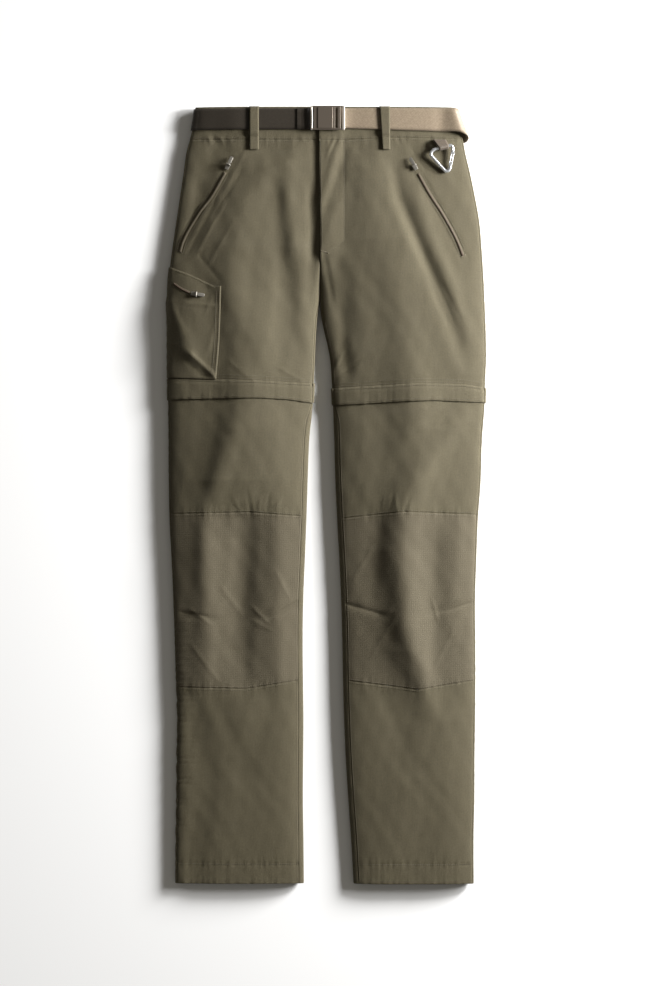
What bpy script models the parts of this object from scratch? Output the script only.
"""Men's zip-off walking trousers, lying flat on their back with the front upwards.

Sizes are in millimetres. x runs across the trousers, down runs from the top of the waist to the hems and
z is the height over the table. The world is in metres with the waist towards +Y. Names say right and
left as the wearer has them, so the right leg is the one on the -X side.
"""
import math

import bmesh
import bpy
import numpy as np
from mathutils import Matrix, Vector
from mathutils.bvhtree import BVHTree

MM = 0.001
LENGTH = 1061.2  # top of the waistband to the hems
MIDDLE_DOWN = (0.4 + LENGTH) / 2  # middle of the outline, with the loops' upper ends
WAIST_TOP = 0.6
SHIFT_X = 0.03  # middle of the outline across
RIGHT, LEFT = -1, 1  # the wearer's sides, as the sign of x

CLOTH = 1.2  # wall of one layer with its seam allowances
WAISTBAND = 1.7
BAND = 1.25  # folded strip over each leg's zip
WEBBING = 1.4
TAPE = 1.0
LOOP = 1.3
BACK_LOOP = 1.1
SEAM = 0.3  # space between two pieces at a seam
LIE = 0.45  # space between a panel and what lies on it
BELT_LIE = 0.6

EDGE_ROLL = 10.0  # width of the rolled side edges
CROTCH = 264.0
CROTCH_ROLL = 14.0  # length over which the crotch seam turns up from the back
FLY_END = 198.0
FLY_LAP = 10.0  # how far the right front reaches under the left one
FLY_RAISE = 2.1
INSEAM_INSET = 6.5  # the inseam lies this far in from the inner edge, on top
OUTSEAM_INSET = 2.0
UNDER_WAIST = 3.25  # the back waistband stands on the belt and its loops
UNDER_BAND = BAND + LIE


def table(columns, *rows):
    """Rows of sizes as one array for each named column."""
    names = columns.split()
    return {name: np.array([row[i] for row in rows], float) for i, name in enumerate(names)}


# Outer edges of both sides, without belt, pocket and bands.
OUTLINE = table(
    "down right left",
    (0.0, -179.0, 176.6),
    (31.9, -183.6, 181.8),
    (45.6, -187.0, 186.8),
    (62.0, -191.4, 189.9),
    (86.5, -194.8, 195.7),
    (127.5, -200.9, 204.2),
    (154.8, -204.9, 209.0),
    (195.7, -210.9, 212.5),
    (236.7, -215.6, 215.3),
    (264.0, -216.6, 216.6),
    (304.9, -216.9, 218.3),
    (345.9, -216.9, 218.9),
    (373.2, -216.9, 217.6),
    (405.9, -216.8, 216.8),
    (455.1, -216.3, 213.1),
    (509.7, -215.9, 211.2),
    (564.3, -214.6, 207.2),
    (618.9, -211.8, 205.2),
    (673.5, -209.4, 203.6),
    (728.1, -207.9, 204.0),
    (782.7, -206.5, 204.1),
    (837.3, -205.0, 203.7),
    (891.9, -205.9, 202.9),
    (946.5, -206.1, 202.6),
    (1001.1, -206.9, 201.4),
    (1061.2, -206.8, 201.5),
)
# Inner edges of the legs.
INNER = table(
    "down right left",
    (264.0, -9.2, -8.9),
    (284.0, -12.0, -1.5),
    (304.9, -13.7, 2.9),
    (345.9, -15.6, 6.0),
    (373.2, -17.0, 7.0),
    (405.9, -18.6, 8.7),
    (455.1, -23.2, 10.4),
    (509.7, -25.4, 11.9),
    (564.3, -27.2, 14.5),
    (618.9, -29.3, 17.5),
    (673.5, -31.5, 20.0),
    (728.1, -32.3, 21.5),
    (782.7, -31.9, 22.5),
    (837.3, -31.3, 24.0),
    (891.9, -31.7, 26.4),
    (946.5, -32.1, 29.8),
    (1001.1, -31.3, 33.6),
    (1061.2, -30.7, 37.0),
)
CENTRE = table("down x", (0.0, -11.3), (33.0, -10.9), (197.0, -8.6), (264.0, -9.05))
# Height of the upper face in the middle, of the widest point of the rolled edge, and of the underside.
HEIGHTS = table(
    "down crown edge",
    (0.0, 16.0, 7.6),
    (44.0, 17.0, 7.8),
    (120.0, 19.0, 8.2),
    (264.0, 20.5, 8.4),
    (400.0, 20.5, 8.2),
    (520.0, 19.5, 8.0),
    (790.0, 18.0, 7.6),
    (1000.0, 15.5, 7.2),
    (1061.2, 14.5, 7.0),
)
# Soft ridges (height over 0) and troughs (under 0) along straight lines on the upper face.
FOLDS = table(
    "from_x from_down to_x to_down height width",
    (-44.0, 70.0, -46.0, 190.0, 2.2, 15.0),
    (-46.0, 190.0, -36.0, 300.0, 2.0, 14.0),
    (-20.0, 60.0, -18.0, 190.0, -3.0, 8.0),
    (-19.0, 190.0, -20.0, 250.0, -1.6, 9.0),
    (-80.0, 90.0, -86.0, 330.0, 1.2, 20.0),
    (-62.0, 90.0, -62.0, 330.0, -0.9, 12.0),
    (-150.0, 60.0, -176.0, 110.0, -1.4, 14.0),
    (-110.0, 75.0, -160.0, 170.0, 1.0, 16.0),
    (-112.0, 215.0, -106.0, 340.0, -0.8, 18.0),
    (88.0, 66.0, 146.0, 190.0, -2.4, 13.0),
    (146.0, 190.0, 200.0, 345.0, -2.0, 14.0),
    (104.0, 66.0, 166.0, 200.0, 1.5, 13.0),
    (70.0, 66.0, 112.0, 190.0, 1.6, 16.0),
    (112.0, 190.0, 170.0, 350.0, 1.3, 20.0),
    (20.0, 285.0, 27.0, 355.0, -1.8, 9.0),
    (16.0, 215.0, 34.0, 300.0, -1.2, 12.0),
    (45.0, 90.0, 50.0, 330.0, 0.9, 20.0),
    (-127.0, 436.0, -166.0, 540.0, 2.0, 14.0),
    (-150.0, 436.0, -188.0, 530.0, -1.8, 12.0),
    (-70.0, 440.0, -62.0, 540.0, 1.0, 18.0),
    (176.0, 436.0, 128.0, 505.0, 1.8, 13.0),
    (140.0, 436.0, 100.0, 490.0, -1.2, 13.0),
    (50.0, 440.0, 56.0, 530.0, 1.0, 18.0),
    (-166.0, 575.0, -164.0, 780.0, 1.6, 14.0),
    (-110.0, 570.0, -112.0, 780.0, -1.7, 16.0),
    (-66.0, 575.0, -66.0, 780.0, 1.8, 14.0),
    (-194.0, 694.0, -166.0, 697.0, -1.3, 5.0),
    (-42.0, 682.0, -94.0, 699.0, -1.4, 6.0),
    (106.0, 570.0, 106.0, 708.0, 1.8, 15.0),
    (106.0, 708.0, 133.0, 785.0, 1.6, 15.0),
    (147.0, 610.0, 148.0, 780.0, -1.1, 13.0),
    (72.0, 565.0, 66.0, 640.0, -1.5, 13.0),
    (178.0, 580.0, 172.0, 700.0, 1.0, 14.0),
    (30.0, 680.0, 72.0, 692.0, -1.3, 5.0),
    (198.0, 677.0, 152.0, 688.0, -1.4, 6.0),
    (-150.0, 805.0, -118.0, 905.0, -0.9, 16.0),
    (-78.0, 805.0, -108.0, 905.0, -0.9, 16.0),
    (-60.0, 830.0, -58.0, 1020.0, 0.8, 22.0),
    (80.0, 805.0, 112.0, 900.0, -0.9, 16.0),
    (158.0, 805.0, 130.0, 900.0, -0.9, 16.0),
    (166.0, 840.0, 164.0, 1010.0, 0.8, 20.0),
)
FOLD_FADE = 22.0  # length over which a fold runs out past its ends

# Seams across the legs, as down at x.
BAND_TOP = {
    RIGHT: table("x down", (-219.0, 370.5), (-96.0, 374.5), (-17.0, 378.2)),
    LEFT: table("x down", (6.0, 384.7), (85.0, 380.7), (124.0, 378.2), (187.0, 379.2), (219.0, 383.8)),
}
BAND_LOW = {
    RIGHT: table("x down", (-219.0, 400.2), (-96.0, 398.0), (-53.0, 400.2), (-17.0, 405.0)),
    LEFT: table("x down", (6.0, 408.1), (54.0, 405.8), (109.0, 402.7), (148.0, 401.6), (219.0, 404.2)),
}
KNEE_TOP = {
    RIGHT: table("x down", (-213.0, 556.0), (-105.0, 553.8), (-28.0, 559.5)),
    LEFT: table("x down", (14.0, 562.9), (106.0, 553.0), (206.0, 556.9)),
}
KNEE_LOW = {
    RIGHT: table("x down", (-206.0, 792.3), (-110.0, 794.4), (-32.0, 782.0)),
    LEFT: table("x down", (24.0, 783.0), (125.0, 795.2), (204.0, 782.8)),
}
WAIST_SEAM = table("x down", (-188.0, 45.2), (-20.0, 46.0), (20.0, 46.6), (90.0, 43.0), (188.0, 44.0))
HEM = {RIGHT: 1060.6, LEFT: LENGTH}
UPPER_END = 3.0  # an upper panel ends this far under its band's top edge
LEG_START = 9.0  # a lower leg starts this far above its band's lower edge

# The belt's turn round the wearer's left hip, where the webbing stands off and sags.
BELT_TURN = table(
    "top_x top_down top_z low_x low_down low_z",
    (172.0, 2.7, 14.4, 178.5, 34.6, 16.4),
    (176.6, 2.6, 12.4, 187.0, 37.2, 15.6),
    (179.0, 2.6, 9.0, 192.4, 40.4, 12.6),
    (178.6, 2.8, 5.4, 193.2, 45.0, 8.4),
    (174.5, 3.0, 3.2, 188.0, 48.6, 4.2),
    (166.0, 3.2, 2.85, 176.0, 45.0, 2.85),
)
BELT_FRONT = table("x top low", (-184.0, 3.3, 31.9), (-20.0, 3.3, 31.9), (25.0, 3.3, 30.4),
                   (70.0, 2.7, 32.0), (172.0, 2.7, 34.6))
# Where the belt's ring has its columns: over the front, under the back, and round the wearer's right hip.
BELT_FRONT_X = (-168.0, -150.0, -125.0, -100.0, -75.0, -50.0, -34.0, -20.0, -8.0, 4.0, 18.0, 34.0, 60.0,
                90.0, 120.0, 142.0, 158.0)
BELT_BACK_X = (140.0, 100.0, 50.0, 0.0, -50.0, -100.0, -140.0, -162.0)
BELT_HIP_ARCS = (22.0, 16.0, 12.0, 9.5, 7.5, 5.5, 3.0, 0.0)
BELT_TOP, BELT_LOW = 3.3, 31.9
BELT_SAG = 8.7  # how much lower the webbing hangs behind the wearer's left hip

BUCKLE = dict(x=1.9, down=16.9, width=46.4, height=32.9, thick=2.2, corner=1.6)
BUCKLE_SLOTS = table("x width", (-20.1, 1.5), (11.6, 3.4), (18.6, 2.6))
BUCKLE_PLATE = dict(x=-5.0, width=26.8, height=28.6, thick=0.9)

LOOPS = table(
    "top_left top_right low_left low_right",
    (-105.0, -92.0, -105.0, -92.0),
    (72.0, 86.8, 76.4, 86.8),
)
LOOP_LENGTH = 59.4
# How far a front loop stands off the fronts along its length.
LOOP_STEPS = table("down lift", (1.35, 0.9), (2.6, 2.6), (6.0, 2.7), (18.0, 2.7), (30.0, 2.7), (37.0, 2.5),
                   (41.5, 0.95), (46.0, 0.85), (53.0, 0.85), (LOOP_LENGTH, 0.85))
BACK_LOOPS = (-100.0, 0.0, 100.0)
LOOP_WIDTH = 13.0

HAND_ZIPS = {
    RIGHT: table("x down", (-138.0, 90.6), (-155.5, 121.0), (-171.0, 141.6), (-183.5, 160.5),
                 (-194.5, 181.0), (-200.0, 198.5)),
    LEFT: table("x down", (125.3, 92.3), (141.0, 120.5), (158.3, 147.0), (175.4, 177.6), (186.3, 203.7)),
}
THIGH_ZIP = table("x down", (-208.0, 242.0), (-198.0, 249.0), (-187.0, 254.6))
ZIP_WIDTH, ZIP_THICK = 3.6, 0.8
# Zip sliders, with the direction in which each pull tab points.
SLIDERS = {
    "hand_right": dict(x=-134.6, down=82.6, point_x=0.414, point_down=-0.910),
    "hand_left": dict(x=121.0, down=83.6, point_x=-0.495, point_down=-0.869),
    "thigh": dict(x=-180.0, down=256.4, point_x=0.990, point_down=0.140),
}
SLIDER = dict(length=8.6, width=6.6, thick=1.6, ear=1.1, ear_length=2.6, ear_height=2.3, ear_inset=0.15)
PIN_BACK, PIN_RISE = 1.4, 1.45  # the pin's place from the slider's front end and over its top plate
TAB = dict(length=12.0, width=4.6, thick=1.1, neck=2.4, shoulder=3.4, corner=1.3, play=0.7,
           droop=math.radians(8.0))
PIN = 0.45  # radius of the pin through a slider's ears
TAB_HOLE = 0.72
TAB_BARREL = 1.15

POCKET_TOP = table("x down", (-217.0, 217.5), (-211.0, 220.0), (-182.8, 231.0), (-153.0, 245.6),
                   (-142.9, 245.9))
POCKET_EDGE = table("down x", (210.0, -141.8), (245.9, -142.9), (336.7, -146.7), (370.5, -149.9))
POCKET_PUFF = 2.2
POCKET_LIE = 0.6

# Middle line of the carabiner's bar, from its nose round to the foot of the gate.
CLIP = table(
    "x down",
    (172.1, 61.2),
    (171.6, 56.2),
    (169.2, 54.0),
    (166.0, 54.65),
    (158.3, 56.6),
    (150.6, 58.5),
    (145.2, 60.8),
    (142.5, 65.0),
    (144.2, 69.6),
    (160.2, 87.0),
    (163.2, 88.8),
    (166.4, 88.0),
    (168.3, 84.9),
    (168.9, 82.2),
)
CLIP_BAR = 2.3
CLIP_AXIS = table("x down", (166.0, 54.65), (150.6, 58.5))
GATE = dict(foot_x=169.0, foot_down=79.1, head_x=172.0, head_down=64.4, width=5.0, slit=1.4, thick=2.6)
TAPE_WIDTH = dict(top_left=145.0, top_right=162.6, low_left=153.6, low_right=166.6)
TAPE_TOP = 46.0

PAINT = {
    "cloth": ((0.165, 0.143, 0.098), 0.85, 0.0),
    "patch": ((0.200, 0.176, 0.124), 0.85, 0.0),
    "webbing": ((0.120, 0.098, 0.072), 0.7, 0.0),
    "zip": ((0.110, 0.075, 0.055), 0.7, 0.0),
    "gunmetal": ((0.140, 0.125, 0.105), 0.4, 0.9),
    "silver": ((0.750, 0.770, 0.800), 0.25, 1.0),
}


def smoothstep(value):
    value = np.clip(value, 0.0, 1.0)
    return value * value * (3.0 - 2.0 * value)


SLOPES = {}


def along(rows, key, column, at):
    """A smooth curve through one column of a table, read at a value of another column."""
    xs, ys = rows[key], rows[column]
    found = (id(rows), column)
    if found not in SLOPES:
        SLOPES[found] = np.gradient(ys, xs)
    slopes = SLOPES[found]
    at = np.clip(np.asarray(at, float), xs[0], xs[-1])
    i = np.clip(np.searchsorted(xs, at) - 1, 0, len(xs) - 2)
    step = xs[i + 1] - xs[i]
    t = (at - xs[i]) / step
    return ((2 * t**3 - 3 * t**2 + 1) * ys[i] + (t**3 - 2 * t**2 + t) * step * slopes[i]
            + (3 * t**2 - 2 * t**3) * ys[i + 1] + (t**3 - t**2) * step * slopes[i + 1])


def straight(rows, key, column, at):
    return np.interp(at, rows[key], rows[column])


def side_name(side):
    return "right" if side == RIGHT else "left"


def outer_edge(side, down):
    return along(OUTLINE, "down", side_name(side), down)


def centre_line(down):
    return along(CENTRE, "down", "x", down)


def inner_edge(side, down):
    """Inner edge of a leg, or the middle line above the crotch."""
    above = centre_line(down) + side * SEAM / 2
    return np.where(down < CROTCH, above, along(INNER, "down", side_name(side), down))


def underside(down):
    """Height of the lower face: flat, but lifted where the belt or a band lies under it."""
    waist = UNDER_WAIST * (1.0 - smoothstep((down - 54.0) / 48.0))
    band = UNDER_BAND * smoothstep((down - 338.0) / 24.0) * (1.0 - smoothstep((down - 428.0) / 30.0))
    return waist + band


def crown(x, one_edge, other_edge, low, high):
    """A soft arch between two edges, upright where it meets them."""
    middle = (one_edge + other_edge) / 2
    half = np.abs(other_edge - one_edge) / 2
    t = np.clip(np.abs(x - middle) / half, 0.0, 1.0)
    return low + (high - low) * np.sqrt(1.0 - t**3)


def folds(x, down):
    """Sum of all ridges and troughs: height times a bell curve of the distance from the fold's line."""
    along_x, along_down = FOLDS["to_x"] - FOLDS["from_x"], FOLDS["to_down"] - FOLDS["from_down"]
    length = np.hypot(along_x, along_down)
    from_x = np.asarray(x, float)[..., None] - FOLDS["from_x"]
    from_down = np.asarray(down, float)[..., None] - FOLDS["from_down"]
    forth = (from_x * along_x + from_down * along_down) / length
    aside = (from_x * along_down - from_down * along_x) / length
    past = np.maximum(np.maximum(-forth, forth - length), 0.0)
    bells = np.exp(-((aside / FOLDS["width"]) ** 2) - (past / FOLD_FADE) ** 2)
    return (FOLDS["height"] * bells).sum(axis=-1)


def top(side, x, down):
    """Height of the upper face of one side, where one broad body parts into two legs at the crotch."""
    high = along(HEIGHTS, "down", "crown", down)
    low = along(HEIGHTS, "down", "edge", down)
    outer, inner = outer_edge(side, down), inner_edge(side, down)
    body = crown(x, outer_edge(RIGHT, down), outer_edge(LEFT, down), low, high)
    leg = crown(x, outer, inner, low, high)
    parted = smoothstep((down - FLY_END) / (CROTCH - FLY_END))
    clear_out = smoothstep(np.abs(x - outer) / 22.0)
    clear_in = 1.0 - parted * (1.0 - smoothstep(np.abs(x - inner) / 16.0))
    return body + (leg - body) * parted + folds(x, down) * clear_out * clear_in


def fly_raise(x, down):
    """The left front and its waistband lie over the right ones at the fly."""
    beside = x - centre_line(down)
    across = 1.0 - smoothstep((beside - 12.0) / 26.0)
    return FLY_RAISE * across * (1.0 - smoothstep((down - FLY_END) / 22.0)) * (beside > 0.0)


def height_of(side, x, down):
    """Height of a front's upper face, with the lift at the fly."""
    x = np.asarray(x, float)
    return top(side, x, down) + (fly_raise(x, down) if side == LEFT else 0.0)


def face(side, x, down):
    """Upper face of a front panel and the direction square to it across the trousers."""
    step = 0.1
    before, height, after = height_of(side, np.array([x - step, x, x + step]), down)
    if abs(x - outer_edge(side, down)) < 0.2:
        normal = (float(side), 0.0)
    elif down >= CROTCH - 1.0 and abs(x - inner_edge(side, down)) < 0.2:
        normal = (float(-side), 0.0)
    else:
        slope = (after - before) / (2 * step)
        size = math.hypot(slope, 1.0)
        normal = (-slope / size, 1.0 / size)
    return float(x), float(height), normal[0], normal[1]


def highest(x, down, reach):
    """The highest point of the fronts within reach of a place."""
    at, at_down = np.meshgrid(x + reach * np.linspace(-1, 1, 5), down + reach * np.linspace(-1, 1, 3))
    found = 0.0
    for side in (RIGHT, LEFT):
        here = (at < centre_line(at_down)) == (side == RIGHT)
        if here.any():
            outer, inner = outer_edge(side, at_down), inner_edge(side, at_down)
            held = np.clip(at, np.minimum(outer, inner), np.maximum(outer, inner))
            found = max(found, float(height_of(side, held, at_down)[here].max()))
    return found


def with_normals(points):
    """Points of a section with the direction of the line at each, by its neighbours."""
    points = np.array(points)
    tangent = np.gradient(points, axis=0)
    tangent /= np.linalg.norm(tangent, axis=1)[:, None]
    return points, tangent


def back_section(side, down, start_inset=None):
    """The line of a back panel: from the outer seam round the edge, along the underside to its inner seam."""
    outer = float(outer_edge(side, down))
    low = float(along(HEIGHTS, "down", "edge", down))
    under = float(underside(down))
    begin = OUTSEAM_INSET - SEAM / 2 if start_inset is None else start_inset
    xs = outer - side * begin * (1 - np.arange(12) / 12) ** 2
    line = list(zip(xs, height_of(side, xs, down)))
    for k in range(17):
        turn = math.pi / 2 * k / 16
        line.append((outer - side * EDGE_ROLL * (1 - math.cos(turn)),
                     under + (low - under) * (1 - math.sin(turn))))
    if down < CROTCH:
        end_x = float(centre_line(down)) + side * SEAM / 2
        climb = max(down - (CROTCH - CROTCH_ROLL), 0.0) / CROTCH_ROLL
        last = math.asin(math.sqrt(max(1 - climb * climb, 0.0)))
    else:
        end_x = float(inner_edge(side, down))
        last = 0.0
    widest = end_x - side * EDGE_ROLL * (1 - math.cos(last))
    foot = widest + side * EDGE_ROLL
    start_x = line[-1][0]
    if last > 1.5:
        foot = end_x
    for k in range(1, 41):
        line.append((start_x + (foot - start_x) * k / 40, under))
    if last <= 1.5:
        for k in range(1, 17):
            turn = math.pi / 2 + (last - math.pi / 2) * k / 16
            line.append((widest + side * EDGE_ROLL * (1 - math.cos(turn)),
                         under + (low - under) * (1 - math.sin(turn))))
    inset = inseam_inset(down) - 1.7 * SEAM
    if down >= CROTCH and inset > 0.05:
        xs = end_x + side * inset * (np.arange(1, 13) / 12) ** 2
        line += list(zip(xs, height_of(side, xs, down)))
    points, tangent = with_normals(line)
    normal = np.stack([tangent[:, 1] * -side * -1, tangent[:, 0] * side * -1], axis=1)
    normal *= -1.0 if normal[len(line) // 2, 1] > 0 else 1.0
    arc = np.concatenate([[0.0], np.cumsum(np.linalg.norm(np.diff(points, axis=0), axis=1))])
    return points, normal, arc


def inseam_inset(down):
    return INSEAM_INSET * smoothstep((down - CROTCH) / 26.0) + SEAM / 2


def read_line(line, fraction, offset):
    """A place on a section's line: a fraction of its length plus a distance along it."""
    points, normal, arc = line
    at = fraction * arc[-1] + offset
    x = np.interp(at, arc, points[:, 0])
    z = np.interp(at, arc, points[:, 1])
    nx = np.interp(at, arc, normal[:, 0])
    nz = np.interp(at, arc, normal[:, 1])
    size = math.hypot(nx, nz)
    return float(x), float(z), float(nx / size), float(nz / size)


def world(x, down, z):
    return ((x - SHIFT_X) * MM, (MIDDLE_DOWN - down) * MM, z * MM)


def collection(name, hidden=False):
    made = bpy.data.collections.new(name)
    made.hide_render = hidden
    bpy.context.scene.collection.children.link(made)
    return made


def material(name):
    found = bpy.data.materials.get(name)
    if found:
        return found
    colour, rough, metallic = PAINT[name.split(".")[0]]
    made = bpy.data.materials.new(name)
    made.use_nodes = True
    shader = made.node_tree.nodes["Principled BSDF"]
    shader.inputs["Base Color"].default_value = (*colour, 1.0)
    shader.inputs["Roughness"].default_value = rough
    shader.inputs["Metallic"].default_value = metallic
    return made


def add_object(name, mesh, paint, smooth=True):
    mesh.materials.append(material(f"{paint}.{name}"))
    mesh.polygons.foreach_set("use_smooth", [smooth] * len(mesh.polygons))
    made = bpy.data.objects.new(name, mesh)
    TROUSERS.objects.link(made)
    return made


def shell(name, outer, inner, paint, around=False):
    """A closed wall between two grids of points of the same layout; around joins its first and last columns."""
    rows, columns = outer.shape[:2]
    points = np.concatenate([outer.reshape(-1, 3), inner.reshape(-1, 3)])
    count = rows * columns
    last = columns if around else columns - 1
    faces = []
    for r in range(rows - 1):
        for c in range(last):
            n = (c + 1) % columns
            a, b = r * columns + c, r * columns + n
            e, f = (r + 1) * columns + n, (r + 1) * columns + c
            faces.append((a, b, e, f))
            faces.append((count + f, count + e, count + b, count + a))
    for c in range(last):
        n = (c + 1) % columns
        faces.append((c, count + c, count + n, n))
        base = (rows - 1) * columns
        faces.append((base + n, count + base + n, count + base + c, base + c))
    if not around:
        for r in range(rows - 1):
            a, b = r * columns, (r + 1) * columns
            faces.append((b, count + b, count + a, a))
            a, b = a + columns - 1, b + columns - 1
            faces.append((a, count + a, count + b, b))
    mesh = bpy.data.meshes.new(name)
    mesh.from_pydata([tuple(p) for p in points], [], faces)
    bm = bmesh.new()
    bm.from_mesh(mesh)
    bmesh.ops.recalc_face_normals(bm, faces=bm.faces)
    bm.to_mesh(mesh)
    bm.free()
    return add_object(name, mesh, paint)


def lift_off(place, down, distance):
    x, z, nx, nz = place
    return world(x + nx * distance, down, z + nz * distance)


def grid(places, distance):
    return np.array([[lift_off(place, down, distance) for place, down in row] for row in places])


def spaced(count, crowd=0.5):
    """Fractions from 0 to 1, closer together at both ends."""
    u = np.linspace(0.0, 1.0, count)
    return (1 - crowd) * u + crowd * (1 - np.cos(np.pi * u)) / 2


def front_seams(side, down, lap=True):
    """Outer and inner end of a front panel's row."""
    outer = float(outer_edge(side, down)) - side * (OUTSEAM_INSET + SEAM / 2)
    if down < CROTCH:
        inner = float(centre_line(down)) + side * SEAM * 0.8
        if side == RIGHT and lap:
            inner += (FLY_LAP + SEAM / 2) * (1.0 - float(smoothstep((down - FLY_END + 16.0) / 14.0)))
    else:
        inner = float(inner_edge(side, down)) + side * float(inseam_inset(down))
    return outer, inner


def front_places(side, begin, end, rows, columns, lap=True):
    """Places on a front panel between two seams that cross it; begin and end give down at x."""
    made = []
    for v in np.linspace(0.0, 1.0, rows):
        row = []
        for u in spaced(columns):
            down = float(begin(0.0) * (1 - v) + end(0.0) * v)
            for _ in range(3):
                outer, inner = front_seams(side, down, lap)
                x = outer + (inner - outer) * u
                down = float(begin(x) * (1 - v) + end(x) * v)
            row.append((face(side, x, down), down))
        made.append(row)
    return made


OUT_ARCS = (0.0, 2.4, 5.2, 8.8, 13.0, 19.0)


def back_columns(middle):
    reach = OUT_ARCS[-1]
    columns = [(0.0, arc) for arc in OUT_ARCS]
    columns += [(f, reach * (1 - 2 * f)) for f in np.linspace(0.0, 1.0, middle + 2)[1:-1]]
    columns += [(1.0, -arc) for arc in reversed(OUT_ARCS)]
    return columns


def back_places(side, begin, end, rows, middle):
    """Places on a back panel; begin and end give down at a fraction of the way to the inner seam."""
    made = []
    columns = back_columns(middle)
    for v in np.linspace(0.0, 1.0, rows):
        row = []
        for k, (fraction, offset) in enumerate(columns):
            f = k / (len(columns) - 1)
            down = float(begin(f) * (1 - v) + end(f) * v)
            row.append((read_line(back_section(side, down), fraction, offset), down))
        made.append(row)
    return made


def at_x(rows, extra=0.0):
    return lambda x: float(straight(rows, "x", "down", x)) + extra


def at_fraction(rows, side, extra=0.0):
    """The same seam on the back: straight from its outer to its inner end."""
    ends = (rows["down"][0], rows["down"][-1])
    outer, inner = ends if side == RIGHT else ends[::-1]
    return lambda f: float(outer * (1 - f) + inner * f) + extra


def constant(value):
    return lambda _: value


def make_fronts_and_backs():
    for side in (RIGHT, LEFT):
        name = side_name(side)
        places = front_places(side, at_x(WAIST_SEAM, SEAM), at_x(BAND_TOP[side], UPPER_END), 22, 14)
        shell(f"front_{name}", grid(places, 0.0), grid(places, -CLOTH), "cloth")
        begin = constant(45.0 + SEAM)
        places = back_places(side, begin, at_fraction(BAND_TOP[side], side, UPPER_END), 22, 2)
        shell(f"back_{name}", grid(places, 0.0), grid(places, -CLOTH), "cloth")


def make_waistband():
    for side in (RIGHT, LEFT):
        places = front_places(side, constant(WAIST_TOP), at_x(WAIST_SEAM), 4, 15)
        name = f"waistband_{side_name(side)}"
        shell(name, grid(places, 0.0), grid(places, -WAISTBAND), "cloth")
    places = []
    for down in np.linspace(WAIST_TOP, 45.0, 4):
        right, left = back_section(RIGHT, down), back_section(LEFT, down)
        row = [(read_line(right, 0.0, arc), down) for arc in OUT_ARCS]
        for f in (0.2, 0.5, 0.8, 1.0):
            row.append((read_line(right, f, OUT_ARCS[-1] * (1 - f)), down))
        for f in (0.8, 0.5, 0.2):
            row.append((read_line(left, f, OUT_ARCS[-1] * (1 - f)), down))
        row += [(read_line(left, 0.0, arc), down) for arc in reversed(OUT_ARCS)]
        places.append(row)
    shell("waistband_back", grid(places, 0.0), grid(places, -WAISTBAND), "cloth")


def make_bands_and_zips():
    """The folded strips that cover the leg zips, and the zips' tapes hidden under them."""
    for side in (RIGHT, LEFT):
        name = side_name(side)
        begin, end = at_x(BAND_TOP[side]), at_x(BAND_LOW[side])
        places = front_places(side, begin, end, 4, 15)
        shell(f"band_front_{name}", grid(places, LIE + BAND), grid(places, LIE), "cloth")
        begin, end = at_fraction(BAND_TOP[side], side), at_fraction(BAND_LOW[side], side)
        places = back_places(side, begin, end, 4, 2)
        shell(f"band_back_{name}", grid(places, LIE + BAND), grid(places, LIE), "cloth")
        rows = []
        for v in (0.0, 1.0):
            def edge(table_top, table_low):
                return table_top + UPPER_END + SEAM if v == 0.0 else table_low - LEG_START - SEAM
            row = []
            for u in spaced(15):
                down = 380.0
                for _ in range(3):
                    outer, inner = front_seams(side, down)
                    x = outer + (inner - outer) * u
                    down = edge(at_x(BAND_TOP[side])(x), at_x(BAND_LOW[side])(x))
                row.append((face(side, x, down), down))
            columns = back_columns(2)
            for k, (fraction, offset) in reversed(list(enumerate(columns))):
                f = k / (len(columns) - 1)
                down = edge(at_fraction(BAND_TOP[side], side)(f), at_fraction(BAND_LOW[side], side)(f))
                row.append((read_line(back_section(side, down), fraction, offset), down))
            rows.append(row)
        shell(f"leg_zip_{name}", grid(rows, 0.0), grid(rows, -CLOTH), "zip", around=True)


def make_lower_legs():
    for side in (RIGHT, LEFT):
        name = side_name(side)
        start = at_x(BAND_LOW[side], -LEG_START)
        pieces = (
            ("leg_top", start, at_x(KNEE_TOP[side]), 9, "cloth"),
            ("knee", at_x(KNEE_TOP[side], SEAM), at_x(KNEE_LOW[side]), 14, "patch"),
            ("leg_low", at_x(KNEE_LOW[side], SEAM), constant(HEM[side]), 12, "cloth"),
        )
        for piece, begin, end, rows, paint in pieces:
            places = front_places(side, begin, end, rows, 13)
            shell(f"{piece}_{name}", grid(places, 0.0), grid(places, -CLOTH), paint)
        begin = at_fraction(BAND_LOW[side], side, -LEG_START)
        places = back_places(side, begin, constant(HEM[side]), 27, 1)
        shell(f"leg_back_{name}", grid(places, 0.0), grid(places, -CLOTH), "cloth")


def strip(name, columns, thick, paint, around=False):
    """A strip from columns of points on its lower face, made thick along the surface's own direction."""
    columns = np.array(columns)
    mesh = bpy.data.meshes.new(name)
    count, across = columns.shape[:2]
    faces = []
    for c in range(count if around else count - 1):
        n = (c + 1) % count
        for r in range(across - 1):
            faces.append((c * across + r, n * across + r, n * across + r + 1, c * across + r + 1))
    mesh.from_pydata([tuple(p) for p in columns.reshape(-1, 3)], [], faces)
    made = add_object(name, mesh, paint)
    wall = made.modifiers.new("wall", "SOLIDIFY")
    wall.thickness = thick * MM
    wall.offset = 1.0
    wall.use_even_offset = True
    wall.use_quality_normals = True
    return made


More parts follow.
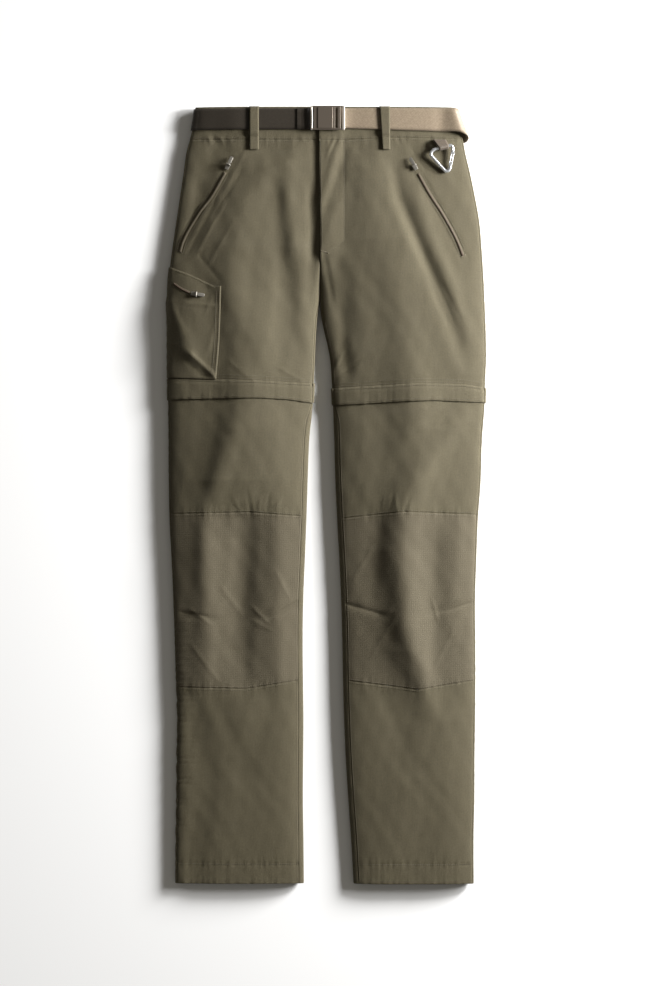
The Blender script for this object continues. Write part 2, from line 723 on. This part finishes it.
def make_belt():
    """The belt's ring: over the front, round both hips and back under the waistband."""
    across = 3
    columns = []

    def column(upper, lower):
        upper, lower = np.array(upper), np.array(lower)
        return [world(*(upper + (lower - upper) * r / (across - 1))) for r in range(across)]

    def front(x):
        made = []
        high, low = straight(BELT_FRONT, "x", "top", x), straight(BELT_FRONT, "x", "low", x)
        for r in range(across):
            down = high + (low - high) * r / (across - 1)
            near = 12.0 if abs(x + 10.0) < 40.0 else 3.0
            made.append(world(x, down, highest(x, down, near) + BELT_LIE))
        return made

    for x in BELT_FRONT_X:
        columns.append(front(x))
    for row in zip(*BELT_TURN.values()):
        columns.append(column(row[:3], row[3:]))
    under = UNDER_WAIST - 0.4
    for x in BELT_BACK_X:
        sag = BELT_SAG * float(smoothstep((x - 80.0) / 90.0))
        columns.append(column((x, BELT_TOP, under), (x, BELT_LOW + sag, under)))
    for offset in BELT_HIP_ARCS:
        made = []
        for r in range(across):
            down = BELT_TOP + (BELT_LOW - BELT_TOP) * r / (across - 1)
            place = read_line(back_section(RIGHT, down, start_inset=6.0), 0.0, offset)
            made.append(lift_off(place, down, BELT_LIE + 0.25))
        columns.append(made)
    strip("belt", columns[::-1], WEBBING, "webbing", around=True)


def box(bm, size, at):
    made = bmesh.ops.create_cube(bm, size=1.0)["verts"]
    bmesh.ops.scale(bm, vec=size, verts=made)
    bmesh.ops.translate(bm, vec=at, verts=made)
    return made


def cutter(name, bm):
    mesh = bpy.data.meshes.new(name)
    bm.to_mesh(mesh)
    bm.free()
    made = bpy.data.objects.new(name, mesh)
    made.display_type = "WIRE"
    made.hide_render = True
    CUTTERS.objects.link(made)
    return made


def cut(target, tool, operation="DIFFERENCE"):
    made = target.modifiers.new(tool.name, "BOOLEAN")
    made.operation = operation
    made.solver = "EXACT"
    made.object = tool


def bevel(target, width, segments=2, limit=50.0):
    made = target.modifiers.new("edges", "BEVEL")
    made.width = width * MM
    made.segments = segments
    made.limit_method = "ANGLE"
    made.angle_limit = math.radians(limit)


def make_buckle():
    """A flat metal slide buckle: a frame with narrow slots and a raised plate."""
    size = BUCKLE
    spots = [(size["x"] + dx, size["down"] + dd) for dx in (-20.0, -10.0, 0.0, 10.0, 20.0)
             for dd in (-12.0, 0.0, 12.0)]
    base = max(highest(x, d, 12.0) for x, d in spots) + BELT_LIE + WEBBING + 0.35
    bm = bmesh.new()
    box(bm, (size["width"] * MM, size["height"] * MM, size["thick"] * MM), (0, 0, size["thick"] * MM / 2))
    mesh = bpy.data.meshes.new("buckle")
    bm.to_mesh(mesh)
    bm.free()
    made = add_object("buckle", mesh, "gunmetal", smooth=False)
    made.location = world(size["x"], size["down"], base)
    bevel(made, size["corner"], segments=3)
    slots = bmesh.new()
    for x, width in zip(*BUCKLE_SLOTS.values()):
        box(slots, (width * MM, (size["height"] - 5.0) * MM, 12 * MM), (x * MM, 0, 0))
    tool = cutter("buckle_slots", slots)
    tool.location = made.location
    cut(made, tool)
    plate = BUCKLE_PLATE
    raised = bmesh.new()
    box(raised, (plate["width"] * MM, plate["height"] * MM, 2 * plate["thick"] * MM),
        (plate["x"] * MM, 0, size["thick"] * MM))
    tool = cutter("buckle_plate", raised)
    tool.location = made.location
    cut(made, tool, "UNION")


def make_loops():
    """Belt loops: sewn at the waistband's top edge, over the belt and down past the waistband's seam."""
    for k, name in enumerate(("loop_right", "loop_left")):
        row = {key: LOOPS[key][k] for key in LOOPS}
        columns = []
        for down, lift in zip(*LOOP_STEPS.values()):
            t = down / LOOP_LENGTH
            left = row["top_left"] * (1 - t) + row["low_left"] * t
            right = row["top_right"] * (1 - t) + row["low_right"] * t
            across = (left, (left + right) / 2, right)
            columns.append([world(x, down, highest(x, down, 5.0) + lift) for x in across])
        strip(name, columns, LOOP, "cloth")
    for k, name in enumerate(("loop_back_right", "loop_back_mid", "loop_back_left")):
        columns = []
        for down in (WAIST_TOP, 20.0, 40.0, LOOP_LENGTH):
            columns.append([world(BACK_LOOPS[k] + dx, down, 0.0) for dx in (-LOOP_WIDTH / 2, LOOP_WIDTH / 2)])
        strip(name, columns, BACK_LOOP, "cloth")


def line_frames(rows, count):
    """Places along a curved line with the direction across it."""
    t = np.linspace(0.0, 1.0, len(rows["x"]))
    fine = np.linspace(0.0, 1.0, count)
    curve = dict(t=t, x=rows["x"], down=rows["down"])
    x, down = along(curve, "t", "x", fine), along(curve, "t", "down", fine)
    dx, dd = np.gradient(x), np.gradient(down)
    size = np.hypot(dx, dd)
    return x, down, dx / size, dd / size


def make_hand_zips():
    for side in (RIGHT, LEFT):
        x, down, ux, ud = line_frames(HAND_ZIPS[side], 15)
        columns = []
        for k in range(len(x)):
            column = []
            for f in (-1.0, 0.0, 1.0):
                at = (x[k] - ud[k] * f * ZIP_WIDTH / 2, down[k] + ux[k] * f * ZIP_WIDTH / 2)
                column.append(world(*at, highest(*at, 2.0) + LIE))
            columns.append(column)
        strip(f"zip_hand_{side_name(side)}", columns[::-1], ZIP_THICK, "zip")


def pocket_place(down, fraction):
    """A place on the thigh pocket's bed: 0 at the outer edge's widest point, 1 at the pocket's inner edge."""
    outer = float(outer_edge(RIGHT, down))
    low = float(along(HEIGHTS, "down", "edge", down))
    end = float(along(POCKET_EDGE, "down", "x", down))
    xs = outer + (end - outer) * (np.arange(1, 41) / 40) ** 2
    line = [(outer, low)] + list(zip(xs, height_of(RIGHT, xs, down)))
    points, tangent = with_normals(line)
    normal = np.stack([-tangent[:, 1], tangent[:, 0]], axis=1)
    arc = np.concatenate([[0.0], np.cumsum(np.linalg.norm(np.diff(points, axis=0), axis=1))])
    return read_line((points, normal, arc), fraction, 0.0)


def pocket_puff(fraction, v):
    """The pocket stands off the thigh in its middle and has a slanting fold in its lower inner corner."""
    body = POCKET_PUFF * np.sin(np.pi * np.clip(fraction, 0.0, 1.0)) ** 1.5 * np.sin(np.pi * v) ** 0.8
    aside = (fraction - 0.62) * 0.72 - (v - 0.84) * 0.9
    fold = 1.1 * np.exp(-((aside / 0.07) ** 2)) * np.exp(-(((v - 0.9) / 0.16) ** 2))
    return body + fold * np.sin(np.pi * v) ** 0.5


def make_pocket():
    outer, inner = [], []
    for v in np.linspace(0.0, 1.0, 11):
        outer_row, inner_row = [], []
        for u in (0.0, 0.02, 0.045, 0.08, 0.13, 0.2, 0.3, 0.42, 0.56, 0.7, 0.85, 1.0):
            down = 240.0
            for _ in range(3):
                place = pocket_place(down, u)
                high = float(straight(POCKET_TOP, "x", "down", place[0]))
                low = float(straight(BAND_TOP[RIGHT], "x", "down", place[0])) - SEAM
                down = high + (low - high) * v
            place = pocket_place(down, u)
            puff = float(pocket_puff(u, v))
            inner_row.append(lift_off(place, down, POCKET_LIE + puff))
            outer_row.append(lift_off(place, down, POCKET_LIE + CLOTH + puff))
        inner.append(inner_row)
        outer.append(outer_row)
    return shell("pocket_thigh", np.array(outer), np.array(inner), "cloth")


def surface_height(tree, x, down, reach):
    """The highest point of a made piece near a place, by rays from above."""
    found = None
    for dx in (-reach, 0.0, reach):
        for dd in (-reach, 0.0, reach):
            wx, wy, _ = world(x + dx, down + dd, 0.0)
            hit = tree.ray_cast(Vector((wx, wy, 0.1)), Vector((0.0, 0.0, -1.0)))
            if hit[0] is not None and (found is None or hit[0].z / MM > found):
                found = hit[0].z / MM
    return found


def make_thigh_zip(tree):
    x, down, ux, ud = line_frames(THIGH_ZIP, 6)
    columns = []
    for k in range(len(x)):
        column = []
        for f in (-1.0, 0.0, 1.0):
            at = (x[k] - ud[k] * f * ZIP_WIDTH / 2, down[k] + ux[k] * f * ZIP_WIDTH / 2)
            column.append(world(*at, surface_height(tree, *at, 1.5) + LIE))
        columns.append(column)
    strip("zip_thigh", columns[::-1], ZIP_THICK, "zip")


def cylinder(bm, radius, length, turn, at, segments=12):
    made = bmesh.ops.create_cone(bm, cap_ends=True, segments=segments, radius1=radius, radius2=radius,
                                 depth=length)["verts"]
    bmesh.ops.transform(bm, matrix=turn, verts=made)
    bmesh.ops.translate(bm, vec=at, verts=made)


def make_slider(name, height):
    """A zip slider with two ears and a pin, and its pull tab hanging on the pin."""
    spot = SLIDERS[name]
    heading = math.atan2(-spot["point_down"], spot["point_x"])
    length, width, thick = SLIDER["length"], SLIDER["width"], SLIDER["thick"]
    ear, ear_height = SLIDER["ear"], SLIDER["ear_height"]
    base = height + SEAM
    place = Matrix.Translation(Vector(world(spot["x"], spot["down"], base))) @ Matrix.Rotation(heading, 4, "Z")
    pin_x, pin_z = length / 2 - PIN_BACK, thick + PIN_RISE
    bm = bmesh.new()
    box(bm, (length * MM, width * MM, thick * MM), (0, 0, thick / 2 * MM))
    mesh = bpy.data.meshes.new(f"slider_{name}")
    bm.to_mesh(mesh)
    bm.free()
    slider = add_object(f"slider_{name}", mesh, "gunmetal", smooth=False)
    slider.matrix_world = place
    bevel(slider, 0.5)
    parts = bmesh.new()
    for side in (-1, 1):
        aside = side * (width / 2 - ear / 2 - SLIDER["ear_inset"])
        box(parts, (SLIDER["ear_length"] * MM, ear * MM, (ear_height + 0.6) * MM),
            (pin_x * MM, aside * MM, (thick + ear_height / 2 - 0.3) * MM))
    tool = cutter(f"slider_ears_{name}", parts)
    tool.matrix_world = place
    cut(slider, tool, "UNION")
    across = Matrix.Rotation(math.pi / 2, 4, "X")
    pin = bmesh.new()
    cylinder(pin, PIN * MM, (width - 1.0) * MM, across, (pin_x * MM, 0, pin_z * MM), 10)
    tool = cutter(f"slider_pin_{name}", pin)
    tool.matrix_world = place
    cut(slider, tool, "UNION")

    tab_width = width - 2 * ear - 2 * SLIDER["ear_inset"] - TAB["play"]
    bm = bmesh.new()
    cylinder(bm, TAB_BARREL * MM, tab_width * MM, across, (0, 0, 0), 14)
    mesh = bpy.data.meshes.new(f"pull_{name}")
    bm.to_mesh(mesh)
    bm.free()
    tab = add_object(f"pull_{name}", mesh, "gunmetal", smooth=False)
    tab.matrix_world = place @ Matrix.Translation(Vector((pin_x * MM, 0, pin_z * MM)))
    blade = bmesh.new()
    reach = TAB["length"]
    broad, corner = TAB["width"] / 2, TAB["corner"]
    outline = [(0.0, tab_width / 2), (TAB["neck"], tab_width / 2), (TAB["shoulder"], broad),
               (reach - corner, broad), (reach, broad - corner)]
    outline += [(x, -y) for x, y in reversed(outline)]
    verts = [blade.verts.new((x * MM, y * MM, z * MM)) for z in (-TAB["thick"] / 2, TAB["thick"] / 2)
             for x, y in outline]
    half = len(outline)
    blade.faces.new(verts[:half][::-1])
    blade.faces.new(verts[half:])
    for k in range(half):
        n = (k + 1) % half
        blade.faces.new((verts[k], verts[n], verts[half + n], verts[half + k]))
    bmesh.ops.recalc_face_normals(blade, faces=blade.faces)
    tool = cutter(f"pull_blade_{name}", blade)
    tool.matrix_world = tab.matrix_world @ Matrix.Rotation(TAB["droop"], 4, "Y")
    cut(tab, tool, "UNION")
    hole = bmesh.new()
    cylinder(hole, TAB_HOLE * MM, 12 * MM, across, (0, 0, 0), 14)
    tool = cutter(f"pull_hole_{name}", hole)
    tool.matrix_world = tab.matrix_world
    cut(tab, tool)
    axis = tab.matrix_world.to_3x3() @ Vector((0, -1, 0))
    print("hinge", tab.name, [round(v, 6) for v in tab.matrix_world.translation], [round(v, 5) for v in axis])


def clip_plane():
    """The carabiner is stiff and flat: a plane that clears the hip under it, a little higher at the tape."""
    points = [(x, d) for x, d in zip(CLIP["x"], CLIP["down"])]
    slope = (highest(172.0, 72.0, 0.1) - highest(142.0, 72.0, 0.1)) / 30.0
    fall = -1.4 / 30.0
    need = max(highest(x, d, 2.5) - slope * x - fall * d for x, d in points)
    rise = need + LIE + CLIP_BAR + 0.15
    bar = [(160.0, 56.2), (154.0, 57.6), (166.0, 54.6)]
    tape = max(highest(x, d, 3.0) - slope * x - fall * d for x, d in bar) + LIE + TAPE + 0.45 + CLIP_BAR
    return slope, fall, max(rise, tape)


def clip_height(x, down):
    slope, fall, rise = CLIP_PLANE
    return slope * x + fall * down + rise


def bar_frames(rows, count):
    x, down, _, _ = line_frames(rows, count)
    return [Vector(world(a, d, clip_height(a, d))) for a, d in zip(x, down)]


def tube(name, centres, radius, sides, paint):
    """A round bar along a line of centres, with closed ends."""
    up = Vector((-CLIP_PLANE[0], CLIP_PLANE[1], 1.0)).normalized()
    bm = bmesh.new()
    rings = []
    for k, centre in enumerate(centres):
        ahead = (centres[min(k + 1, len(centres) - 1)] - centres[max(k - 1, 0)]).normalized()
        aside = ahead.cross(up).normalized()
        over = aside.cross(ahead).normalized()
        ring = []
        for s in range(sides):
            turn = 2 * math.pi * s / sides
            ring.append(bm.verts.new(centre + (aside * math.cos(turn) + over * math.sin(turn)) * radius * MM))
        rings.append(ring)
    for one, two in zip(rings, rings[1:]):
        for s in range(sides):
            n = (s + 1) % sides
            bm.faces.new((one[s], one[n], two[n], two[s]))
    bm.faces.new(rings[0][::-1])
    bm.faces.new(rings[-1])
    bmesh.ops.recalc_face_normals(bm, faces=bm.faces)
    mesh = bpy.data.meshes.new(name)
    bm.to_mesh(mesh)
    bm.free()
    return add_object(name, mesh, paint)


def re_origin(made, at):
    made.data.transform(Matrix.Translation(-at))
    made.location = at


def make_clip():
    """A small three-cornered carabiner with a sprung gate, and the tape that holds it."""
    clip = tube("clip", bar_frames(CLIP, 34), CLIP_BAR, 10, "silver")
    ends = [Vector(world(x, d, clip_height(x, d))) for x, d in zip(CLIP_AXIS["x"], CLIP_AXIS["down"])]
    middle = (ends[0] + ends[1]) / 2
    re_origin(clip, middle)
    axis = (ends[0] - ends[1]).normalized()
    print("hinge clip", [round(v, 6) for v in middle], [round(v, 5) for v in axis])

    foot = Vector(world(GATE["foot_x"], GATE["foot_down"], clip_height(GATE["foot_x"], GATE["foot_down"])))
    head = Vector(world(GATE["head_x"], GATE["head_down"], clip_height(GATE["head_x"], GATE["head_down"])))
    ahead = (head - foot).normalized()
    up = Vector((-CLIP_PLANE[0], CLIP_PLANE[1], 1.0)).normalized()
    aside = ahead.cross(up).normalized()
    up = aside.cross(ahead).normalized()
    turn = Matrix((aside, ahead, up)).transposed().to_4x4()
    length = (head - foot).length / MM
    half = GATE["width"] / 2
    outline = [(half * math.cos(a), length + half * math.sin(a)) for a in np.linspace(0, math.pi, 9)]
    outline += [(half * math.cos(a), half * math.sin(a)) for a in np.linspace(math.pi, 2 * math.pi, 9)]
    bm = bmesh.new()
    below, above = [[bm.verts.new((x * MM, y * MM, z * MM)) for x, y in outline]
                    for z in (-GATE["thick"] / 2, GATE["thick"] / 2)]
    bm.faces.new(below[::-1])
    bm.faces.new(above)
    for k in range(len(outline)):
        n = (k + 1) % len(outline)
        bm.faces.new((below[k], below[n], above[n], above[k]))
    bmesh.ops.recalc_face_normals(bm, faces=bm.faces)
    mesh = bpy.data.meshes.new("clip_gate")
    bm.to_mesh(mesh)
    bm.free()
    gate = add_object("clip_gate", mesh, "silver", smooth=False)
    gate.matrix_world = Matrix.Translation(foot) @ turn
    bevel(gate, 0.5, 2)
    slit = bmesh.new()
    box(slit, (GATE["slit"] * MM, (length - 1.0) * MM, 10 * MM), (0, length / 2 * MM, 0))
    tool = cutter("gate_slit", slit)
    tool.matrix_world = gate.matrix_world
    cut(gate, tool)
    print("hinge clip_gate", [round(v, 6) for v in foot], [round(v, 5) for v in up])

    make_clip_tape()


def make_clip_tape():
    """A tape from the waistband's seam, round the carabiner's top bar and back."""
    width = TAPE_WIDTH
    bar_x, bar_down = 160.1, 56.15
    bar_z = clip_height(bar_x, bar_down)
    ring = CLIP_BAR + 0.45
    start = TAPE_TOP + SEAM
    reach = bar_down - start
    rows = [(0.0, None, 0.0), (reach * 0.5, None, 0.0)]
    for turn in np.linspace(-70.0, 90.0, 8):
        a = math.radians(turn)
        rows.append((reach + ring * math.cos(a), bar_z + ring * math.sin(a), 0.0))
    rows += [(reach * 0.62, bar_z + ring - 0.5, 0.0), (reach * 0.3, bar_z + ring - 2.2, 0.0), (0.2, None, 1.6)]
    columns = []
    slope = CLIP_PLANE[0]
    lean = (CLIP_AXIS["down"][0] - CLIP_AXIS["down"][1]) / (CLIP_AXIS["x"][0] - CLIP_AXIS["x"][1])
    for forth, z, extra in rows:
        t = min(forth / reach, 1.0)
        left = width["top_left"] * (1 - t) + width["low_left"] * t
        right = width["top_right"] * (1 - t) + width["low_right"] * t
        column = []
        for x in (left, (left + right) / 2, right):
            down = start + forth + lean * (x - bar_x) * t
            if z is None:
                height = highest(x, down, 2.0) + LIE + TAPE + extra
            else:
                height = z + slope * (x - bar_x)
            column.append(world(x, down, height))
        columns.append(column)
    strip("clip_tape", columns[::-1], TAPE, "webbing")


def clear_scene():
    for old in list(bpy.data.objects):
        bpy.data.objects.remove(old, do_unlink=True)


clear_scene()
TROUSERS = collection("zip_off_trousers")
CUTTERS = collection("cutters", hidden=True)
CLIP_PLANE = clip_plane()

make_fronts_and_backs()
make_waistband()
make_bands_and_zips()
make_lower_legs()
make_belt()
make_buckle()
make_loops()
make_hand_zips()
pocket = make_pocket()
bpy.context.view_layer.update()
pocket_tree = BVHTree.FromObject(pocket, bpy.context.evaluated_depsgraph_get())
make_thigh_zip(pocket_tree)
for slider_name in ("hand_right", "hand_left"):
    slot = SLIDERS[slider_name]
    make_slider(slider_name, highest(slot["x"], slot["down"], 4.5))
slot = SLIDERS["thigh"]
make_slider("thigh", surface_height(pocket_tree, slot["x"], slot["down"], 4.5))
make_clip()
